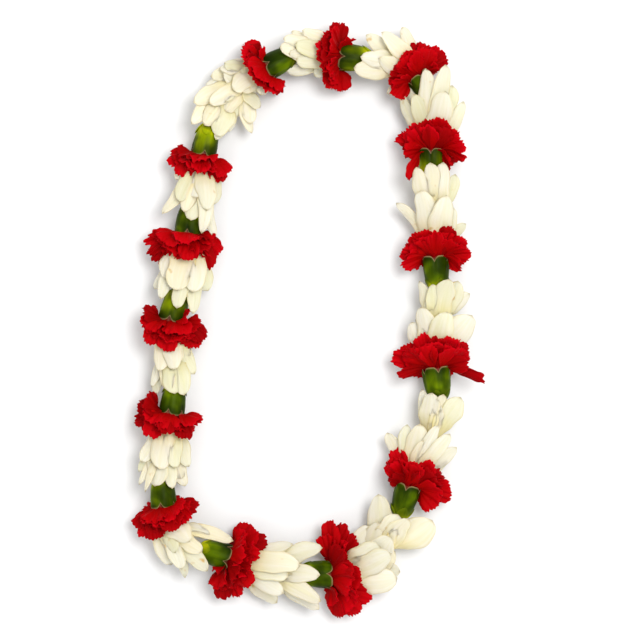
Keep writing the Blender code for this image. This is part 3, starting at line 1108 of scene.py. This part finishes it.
def scale_leaf(azimuth, lift):
    """One scale: as wide as its arc at the foot, and narrowing to a point on the calyx's side."""
    up_it, across = grid(SCALE_ROWS, SCALE_ROWS)
    height = 0.4 + up_it * SCALE_LENGTH
    wide = np.radians(SCALE_HALF) * (1 - up_it**1.6) ** 0.8 * across
    radius = profile_at(height) + 0.45 + lift * up_it**2 - 0.35 * across**2 * up_it
    return ring(radius, np.radians(azimuth) + wide, height)


def scales_skin(number, tail):
    """The four scales of one calyx, bent along the string from its tail on."""
    random = np.random.default_rng(3000 + number)
    turn = random.uniform(0, 90)
    scales = np.stack([scale_leaf(turn + 90 * index, random.uniform(0.1, 0.8)) for index in range(4)])
    front, back = both_sides(carry(scales, tail), SCALE_THICKNESS * MM)
    skin = petal_skin(front, back, random.uniform(0.35, 0.7, len(scales)))
    return skin._replace(along=skin.along * SCALE_GREEN)


for number, (habit, mouth) in enumerate(zip(HABITS, MOUTHS, strict=True), start=1):
    cup = calyx_skin(number, habit.hood)
    skins = [cup._replace(points=carry(cup.points, mouth - CALYX_LENGTH))]
    if number != KNOTTED:
        skins.append(scales_skin(number, mouth - CALYX_LENGTH))
    build(f"carnation_{number:02d}_calyx", joined(skins), GREEN)
print("calyxes:", len(LEI), "with", SEPALS, "teeth each")

# %% [markdown]
# ## Tuberose florets
#
# A tuberose floret is a slender tube that opens into six blunt petals, which botanists call tepals.
# In the double kind more petals crowd inside them. They are thick, cupped along their length, and
# lean out by different amounts, because each floret is pushed into the one behind and squeezed by it.

# %% A tuberose petal's line, outline and relief
FUNNEL = 26.0  # degrees: how steeply the tube widens where the petals start
TIP_FROM = 0.55  # of its length: where a petal starts to round off

# The first four as in a Fan, its width, how far its foot is from the stem, how deep its cup is, how
# far it curls in degrees and sways to one side in mm, and how blunt its tip is.
Tepal = namedtuple("Tepal", "azimuth lean length roll width foot cup curl sway point")


def tepal_line(up_it, lean, length, curl):
    """Out and up along a petal's middle line, and its slope there, at these shares of its length.

    The slope turns from FUNNEL degrees to lean, and then by curl more. Out is the sum of its sines,
    and up of its cosines.
    """
    turned = (lean - FUNNEL) * smooth(up_it / 0.5)
    slope = np.radians(FUNNEL + turned + curl * smooth((up_it - 0.35) / 0.65))
    step = length * np.diff(up_it, axis=0, prepend=0)
    return np.cumsum(np.sin(slope) * step, axis=0), np.cumsum(np.cos(slope) * step, axis=0), slope


def tepal_outline(up_it, across, point, random):
    """How wide the petal is, as a share of its full width.

    The share rises from the foot, stays, and rounds off at the tip along a superellipse, which is more
    pointed where its power is less. Two small waves along the sides make them uneven.
    """
    wavy = random.uniform(0, 2 * np.pi, 2)
    sides = 0.07 * np.sin(wavy[0] + 9 * up_it + across) + 0.05 * np.sin(wavy[1] + 17 * up_it - 2 * across)
    tip = np.clip((up_it - TIP_FROM) / (1 - TIP_FROM), 0, 1)
    return (0.6 + 0.4 * smooth(up_it / 0.4)) * (1 + sides) * np.maximum(1 - tip**point, 0.0008) ** 0.56


def tepal_relief(petal, up_it, across, outline, random):
    """How far each point stands off: a rib or a groove up the middle, less a cup and gentle dents."""
    rib = random.uniform(-0.5, 0.6) * np.exp(-((across / 0.22) ** 2)) * np.sin(np.pi * up_it)
    ripple = random.uniform(0, 2 * np.pi, 4)
    dents = 0.6 * np.sin(ripple[0] + 4 * up_it) * across + 0.35 * np.sin(ripple[1] + 7 * up_it)
    dents = dents + 0.45 * np.sin(ripple[2] + 9 * up_it) * across**2
    dents = dents + 0.18 * np.sin(ripple[3] + 5 * np.pi * across) * smooth(up_it * 1.5)
    cupped = petal.cup * across**2 * outline * petal.width / 2
    return rib - cupped - dents * smooth(up_it * 2)


# %% [markdown]
# As with a carnation's petals, the flat petal is first given its relief, then rolled and twisted, and
# then carried along its middle line and round the stem.

# %% One tuberose petal
TEPAL_ROWS = 19
TEPAL_COLUMNS = 13
TWISTED = 22.0  # degrees: the most that a petal twists on its way to the tip


def tepal(petal, random):
    """The middle surface of one petal, from the throat up, as an array of rows by columns by 3."""
    up_it, across = grid(TEPAL_ROWS, TEPAL_COLUMNS)
    up_it = up_it**0.9
    outline = tepal_outline(up_it, across, petal.point, random)
    sideways = petal.width / 2 * outline * across + petal.sway * up_it**2
    off = tepal_relief(petal, up_it, across, outline, random)
    twist = random.uniform(-TWISTED, TWISTED) * up_it**1.5
    sideways, off = rolled(sideways, off, petal.roll * smooth(up_it * 1.8) + twist)
    out, up, slope = tepal_line(up_it, petal.lean, petal.length, petal.curl)
    radial, height = petal.foot + out + off * np.cos(slope), up - off * np.sin(slope)
    return stood_round(radial, sideways, height, petal.azimuth)


# %% [markdown]
# Tuberoses are arranged like the carnations, with a list of the petals that show on top of each
# floret: which way each points from its throat, how far it reaches and how wide it is. Some florets
# are half-shut bells, and others are open stars with petals that stray far to the side.

# %% The petals on top of each floret
BLOOMS = (
    (
        ((-30, 24, 9), (-5, 24, 9), (20, 23, 9), (65, 18, 8), (-75, 12, 7)),
        ((-35, 23, 7), (-15, 25, 8), (0, 26, 9), (20, 20, 8), (45, 27, 6)),
    ),
    (
        ((-70, 23, 10), (-55, 25, 9), (-40, 30, 10), (-10, 16, 10), (90, 16, 8)),
        (
            (-45, 20, 10), (-30, 31, 9), (0, 20, 8), (30, 17, 8), (65, 34, 6), (75, 28, 9), (110, 24, 7),
            (45, 24, 8), (-100, 14, 8), (10, 10, 6),
        ),
        ((-25, 25, 8), (0, 18, 10), (25, 22, 12), (35, 27, 6), (65, 21, 11)),
    ),
    (
        ((-20, 27, 10), (0, 20, 11), (20, 29, 11), (45, 28, 12), (-50, 16, 8)),
        ((-30, 32, 6), (10, 27, 9), (25, 38, 7), (30, 42, 5), (-5, 22, 9)),
    ),
    (
        ((-5, 28, 14), (20, 29, 15), (40, 32, 12), (-30, 24, 12)),
        ((-50, 26, 5), (-30, 27, 6), (5, 28, 8), (30, 34, 8), (15, 22, 9)),
    ),
    (
        ((-25, 22, 9), (0, 20, 10), (35, 30, 9), (55, 18, 7)),
        ((-60, 25, 4), (-40, 27, 6), (-5, 22, 11), (20, 25, 9), (-20, 20, 8)),
    ),
    (
        ((-30, 26, 9), (-10, 24, 12), (20, 23, 10), (50, 28, 9)),
        ((-50, 22, 4), (-35, 28, 3), (-25, 30, 3), (-15, 23, 12), (20, 24, 6), (40, 27, 8)),
    ),
    (
        ((-40, 30, 10), (-25, 32, 8), (10, 17, 12), (60, 14, 8)),
        ((-45, 29, 7), (-15, 30, 8), (0, 17, 8), (40, 39, 7), (55, 22, 7)),
    ),
    (
        ((-40, 34, 13), (-20, 30, 12), (5, 28, 12), (15, 36, 11), (45, 35, 7)),
        ((-40, 42, 10), (-20, 37, 10), (0, 30, 10), (35, 36, 10)),
    ),
    (
        ((-30, 33, 15), (0, 32, 13), (20, 28, 13), (40, 34, 13)),
        ((-80, 24, 12), (-40, 18, 11), (0, 20, 15), (35, 26, 13)),
        ((-30, 33, 18), (-5, 20, 11), (15, 19, 12), (50, 34, 15)),
    ),
    (
        (
            (-60, 22, 8), (-40, 31, 8), (-15, 32, 7), (5, 33, 6), (20, 30, 11), (35, 29, 8), (65, 31, 8),
            (-10, 12, 7), (30, 14, 8),
        ),
        ((-25, 26, 12), (0, 22, 8), (30, 23, 11), (45, 27, 7)),
    ),
    (
        ((-50, 35, 16), (-10, 25, 13), (25, 30, 10), (50, 24, 9)),
        ((-55, 27, 9), (-35, 27, 10), (-10, 24, 13), (15, 19, 8), (35, 25, 6)),
    ),
    (
        ((-75, 25, 5), (-15, 29, 13), (20, 34, 11), (45, 37, 5), (-35, 24, 10)),
        ((-45, 28, 7), (-15, 30, 10), (0, 29, 9), (20, 28, 9)),
    ),
    (
        ((-45, 23, 6), (-30, 33, 8), (-5, 33, 13), (30, 34, 9), (45, 40, 7)),
        ((-20, 30, 10), (0, 42, 9), (20, 40, 10), (45, 34, 8)),
    ),
    (
        ((-50, 28, 7), (-20, 30, 9), (20, 22, 10), (80, 24, 7)),
        ((-25, 27, 9), (0, 24, 10), (25, 30, 11)),
    ),
)
print("petals on top:", sum(len(bloom) for blooms in BLOOMS for bloom in blooms))

# %% [markdown]
# Round and under those petals come the rings that every floret has: six outside, less those that the
# list replaces, six within, and three small ones in the middle, which stand steeper. A floret's petals
# reach well over the throat of the next one, and those of the last over the foot of the next calyx, so
# that no tube shows.

# %% Aiming a floret's petals
# How many petals, their lean and how unlike each other they lean in degrees, their share of the
# floret's reach, and then the same as in a Tepal.
Ring = namedtuple("Ring", "petals lean jitter share width foot cup curl")
FLORET_RINGS = (
    Ring(6, 33, 6, 0.92, 14.0, 3.4, 0.14, -8),
    Ring(6, 25, 7, 0.80, 12.0, 2.6, 0.20, -6),
    Ring(3, 15, 5, 0.60, 9.0, 1.8, 0.30, -4),
)
BELOW_THROAT = 12.0  # mm: where the petals start to come away from the tube
THROAT_RADIUS = 2.6  # mm
LOWER = 0.74  # what lying on its side does to a floret's height
STANDING = 20.0  # mm: what a short petal lacks of this in reach it has in height
SPREADING = 0.6  # mm out for each mm up, at a bloom's outside
TEPAL_UP = 0.75  # of the roll that turns a petal's back straight up
LEAST_FROM_FOOT = 0.5  # mm from a petal's foot to its tip, seen along the stem


def tepal_to(tip, foot, curl, **looks):
    """The Tepal whose tip comes to this point, in mm from the middle of the throat."""
    up_it = np.linspace(0, 1, 40)[:, None]

    def ends(lean, length):
        out, up, _ = tepal_line(up_it, lean, length, curl)
        return float(out[-1, 0]), float(up[-1, 0])

    from_foot = (tip[0], tip[1], tip[2] + BELOW_THROAT)
    azimuth, lean, length, roll = aimed(from_foot, foot, LEAST_FROM_FOOT, TEPAL_UP, ends)
    return Tepal(azimuth, lean, length, roll, foot=foot, curl=curl, **looks)


def top_tepal(lobe, random):
    """A petal on top, whose tip lies on a cone round the string that lies on its side.

    Its height over the string is what is left of the cone's radius there, once its distance to the
    side has been taken off.
    """
    z, x = compass(lobe.angle) * lobe.reach
    y = LOWER * math.sqrt(max((4 + SPREADING * max(z, 0)) ** 2 - x**2, 0)) + random.uniform(0, 2)
    return tepal_to(
        (x, max(y, STANDING - lobe.reach), z), THROAT_RADIUS, random.uniform(-28, 18),
        width=lobe.width * 1.2 + 3.0, cup=random.uniform(0.0, 0.3), sway=random.uniform(-4, 4),
        point=random.uniform(1.5, 3.0),
    )


def ring_tepal(whorl, bloom, reach, azimuth, away, random):
    """A petal of one of the rings, drawn in to stay under the bloom's outline."""
    around = math.radians(azimuth)
    on_top = math.sin(around) > 0.15
    if on_top and whorl is FLORET_RINGS[0]:
        return None
    z = reach * whorl.share * random.uniform(0.9, 1.05)
    out = whorl.foot + 2 + z * math.tan(away)
    share = random.uniform(0.45, 0.8) if on_top else random.uniform(0.75, 0.97)
    x, near = within(bloom, out * math.cos(around), z, share)
    y = out * math.sin(around) * LOWER * (0.5 + 0.5 * near / z if on_top else 1.0)
    return tepal_to(
        (x, y, near), whorl.foot, whorl.curl * random.uniform(-0.6, 2.2),
        width=whorl.width * random.uniform(0.85, 1.1), cup=whorl.cup * random.uniform(0.6, 1.3),
        sway=random.uniform(-2, 2), point=random.uniform(2.0, 3.2),
    )


print("rings of", [whorl.petals for whorl in FLORET_RINGS], "petals")

# %% [markdown]
# One floret is its petals on top and its three rings. Each ring is turned by half a petal from the one
# outside it, so that its petals show in the gaps.

# %% The petals of one floret


def floret_petals(seed, bloom, reach):
    """The petals of one floret, upright, with Z = 0 at its throat, and their tones."""
    random = np.random.default_rng(seed)
    petals = [top_tepal(lobe, random) for lobe in bloom]
    start = 90 + 30 * (seed % 2)
    for whorl in FLORET_RINGS:
        start += random.uniform(-10, 10)
        for index in range(whorl.petals):
            away = math.radians(whorl.lean + random.uniform(-whorl.jitter, whorl.jitter))
            azimuth = start + 360 * index / whorl.petals + random.uniform(-6, 6)
            petals.append(ring_tepal(whorl, bloom, reach, azimuth, away, random))
        start += 30
    petals = np.stack([tepal(petal, random) for petal in petals if petal])
    petals[..., 2] -= BELOW_THROAT
    return petals, random.uniform(0, 1, len(petals))


# %% [markdown]
# The petals are laid down straight, round their own throat. The tube is soft, so it follows the string
# from the throat of the floret behind, into which it is pushed, or from the heart of the carnation.

# %% Tuberose florets
LONGEST_TUBE = 22.0  # mm
SHORTEST_REACH = 25.0  # mm along the string
OVER_NEXT = 6.0  # mm past the next throat
OVER_CALYX = (7, 5, 13, 3, 8, 4, 0, 3, 5, 8, 8, 11, 12, 0)  # mm past the next calyx's foot
TUBE_AROUND = 20
TUBE_ROWS = 10
PAST_THROAT = 2.0  # mm that the tube goes on past the throat
THROAT_GREEN = 0.1  # of the way up a petal: the tube takes its colour from there down


def floret_tube(base, throat):
    """Rings up the outside of the tube, over its rim and down its inside."""
    angle = full_turn(TUBE_AROUND)
    height = base + (throat + PAST_THROAT - base) * np.linspace(0, 1, TUBE_ROWS)[:, None]
    flare = np.maximum(height - throat + 9, 0) / 11
    outside = ring(2.5 + 2.9 * flare**1.6, angle, height)
    inside = ring((1.9 + 2.7 * flare**1.6)[::-1], angle, height[::-1] + 0.2)
    return np.concatenate([outside, inside])


def tepal_thickness():
    """In mm at each point: thick down the middle, thin at the sides and the tip."""
    up_it, across = grid(TEPAL_ROWS, TEPAL_COLUMNS)
    return 0.25 + 0.4 * (1 - across**2) * (1 - up_it**4)


def floret_reaches(number, row, heart):
    """How far along the string the petals of each of a group's florets reach, in mm."""
    room = (MOUTHS[number % len(LEI)] - CALYX_LENGTH - heart) % LOOP
    gaps = [after - here + OVER_NEXT for here, after in zip(row.throats, row.throats[1:])]
    return [max(gap, SHORTEST_REACH) for gap in gaps] + [room - row.throats[-1] + OVER_CALYX[number - 1]]


for number, (row, blooms) in enumerate(zip(LEI, BLOOMS, strict=True), start=1):
    heart = MOUTHS[number - 1] - CALYX_LENGTH + HEART
    reaches = floret_reaches(number, row, heart)
    behind = 0.0
    for index, (throat, reach, bloom) in enumerate(zip(row.throats, reaches, blooms, strict=True)):
        lobes = [Lobe(*lobe) for lobe in bloom]
        petals, tones = floret_petals(4000 + 10 * number + index, lobes, reach)
        front, back = both_sides(lay(petals, heart + throat), tepal_thickness() * MM)
        tube = tube_skin(carry(floret_tube(max(behind, throat - LONGEST_TUBE), throat), heart))
        skin = joined([petal_skin(front, back, tones), tube._replace(along=tube.along * THROAT_GREEN)])
        place = "rear" if index == 0 else "front" if throat == row.throats[-1] else "middle"
        build(f"tuberose_{number:02d}_{place}", skin, WHITE)
        behind = throat
print("tuberose florets:", sum(len(row.throats) for row in LEI))

# %% [markdown]
# ## String and knot
#
# Lei string is cotton of two or three plies. Three round lobes that turn as they go along the string
# look like plies, and stay one closed skin.

# %% The string
STRING_RADIUS = 0.6  # mm
STRING_RINGS = 900
STRING_SIDES = 12
TWIST = 5.0  # mm for one turn of the plies


def plied(turns):
    """Offsets of a three-lobed cross-section, turned by each of these angles."""
    angle = full_turn(STRING_SIDES)
    radius = STRING_RADIUS * (0.86 + 0.14 * np.cos(3 * angle))
    return radius * np.cos(angle + turns[:, None]), radius * np.sin(angle + turns[:, None])


lengths = np.linspace(0, LOOP, STRING_RINGS, endpoint=False)
side, over = plied(np.round(LOOP / TWIST) * 2 * np.pi * lengths / LOOP)
string_rings = np.stack([side, over, np.broadcast_to(lengths[:, None], side.shape)], axis=-1)
build("lei_string", tube_skin(carry(string_rings, 0.0), closed=True), COTTON)
print("string:", round(LOOP), "mm, with", round(LOOP / TWIST), "turns of its plies")

# %% [markdown]
# The two ends are tied round the string behind one calyx, where the next tuberose's bell hides them.
# The knot is a barrel: two tight turns round the string, with a short end out at either side.

# %% The knot
KNOT_FROM = 1.2  # mm up from the calyx's cut stem end
KNOT_RADIUS = 1.65  # mm
KNOT_PITCH = 1.6  # mm for each turn
KNOT_TURNS = 2
KNOT_END = 2.6  # mm


def knot_rings():
    """The plied section carried along a helix with a short straight end at either side."""
    turn = np.linspace(0, 2 * np.pi * KNOT_TURNS, 96)
    rise = KNOT_FROM + KNOT_PITCH * turn / (2 * np.pi)
    coil = np.column_stack([KNOT_RADIUS * np.cos(turn), KNOT_RADIUS * np.sin(turn), rise])
    ends = np.linspace(1, 0.05, 6)[:, None] * [0, KNOT_END, 0]
    path = np.concatenate([coil[0] - ends, coil, (coil[-1] + ends)[::-1]])
    along = unit(np.gradient(path, axis=0))
    first = unit(np.cross(along, [0, 0, 1]))
    second = np.cross(along, first)
    side, over = plied(np.linspace(0, 40, len(path)))
    return path[:, None] + side[..., None] * first[:, None] + over[..., None] * second[:, None]


knot = tube_skin(carry(knot_rings(), MOUTHS[KNOTTED - 1] - CALYX_LENGTH))
build("string_knot", knot, COTTON)
print("knot:", len(knot.points), "points, behind carnation", KNOTTED)

# %% [markdown]
# ## Table, light and camera
#
# The lei lies on a plain white table. One large soft lamp stands to the right and behind, and the white
# room fills the shadows. The table is a little grey, so that with all that light it comes out white.

# %% Table and light
TABLE_HALF = 3.0  # metres
TABLE_GREY = 0.80
LAMP_PLACE = (0.6, 0.4, 2.0)  # metres
LAMP_SIZE = 0.95  # metres across
LAMP_POWER = 29  # watts


def table_top():
    """A flat white square at height 0."""
    material = bpy.data.materials.new("table_white")
    material.use_nodes = True
    shader = material.node_tree.nodes["Principled BSDF"]
    shader.inputs["Base Color"].default_value = (TABLE_GREY, TABLE_GREY, TABLE_GREY, 1)
    shader.inputs["Roughness"].default_value = 0.9
    shader.inputs["Specular IOR Level"].default_value = 0.0
    mesh = bpy.data.meshes.new("table")
    corners = [(-TABLE_HALF, -TABLE_HALF, 0), (TABLE_HALF, -TABLE_HALF, 0)]
    corners += [(-x, -y, 0) for x, y, _ in corners]
    mesh.from_pydata(corners, [], [(0, 1, 2, 3)])
    mesh.materials.append(material)
    table = bpy.data.objects.new("table", mesh)
    scene.collection.objects.link(table)


def round_lamp(name, place, size, power):
    """A round lamp of this size, aimed at the middle of the table."""
    data = bpy.data.lights.new(name, "AREA")
    data.shape, data.size, data.energy = "DISK", size, power
    lamp = bpy.data.objects.new(name, data)
    lamp.location = place
    lamp.rotation_euler = (-Vector(place)).to_track_quat("-Z", "Y").to_euler()
    scene.collection.objects.link(lamp)


scene = bpy.context.scene
table_top()
round_lamp("lamp", LAMP_PLACE, LAMP_SIZE, LAMP_POWER)
scene.world = bpy.data.worlds.new("room")
scene.world.use_nodes = True
room = scene.world.node_tree.nodes["Background"]
room.inputs["Color"].default_value = (1, 1, 1, 1)
room.inputs["Strength"].default_value = 1.0
scene.view_settings.view_transform = "Standard"
scene.view_settings.look = "None"
print("lamp", LAMP_SIZE, "m across, at", LAMP_PLACE)

# %% [markdown]
# The camera looks straight down. Its lens follows from how much of the table the picture shows.

# %% Camera
CAMERA_HEIGHT = 1.8  # metres
AIMED_AT = (0.0104, -0.0032)  # metres: the middle of the picture on the table
SHOWN = 0.4896  # metres of table across the picture
SENSOR = 36  # mm

camera_data = bpy.data.cameras.new("camera")
camera_data.sensor_width = SENSOR
camera_data.lens = SENSOR * CAMERA_HEIGHT / SHOWN
camera = bpy.data.objects.new("camera", camera_data)
camera.location = (*AIMED_AT, CAMERA_HEIGHT)
scene.collection.objects.link(camera)
scene.camera = camera
print("lens", round(camera_data.lens, 1), "mm")
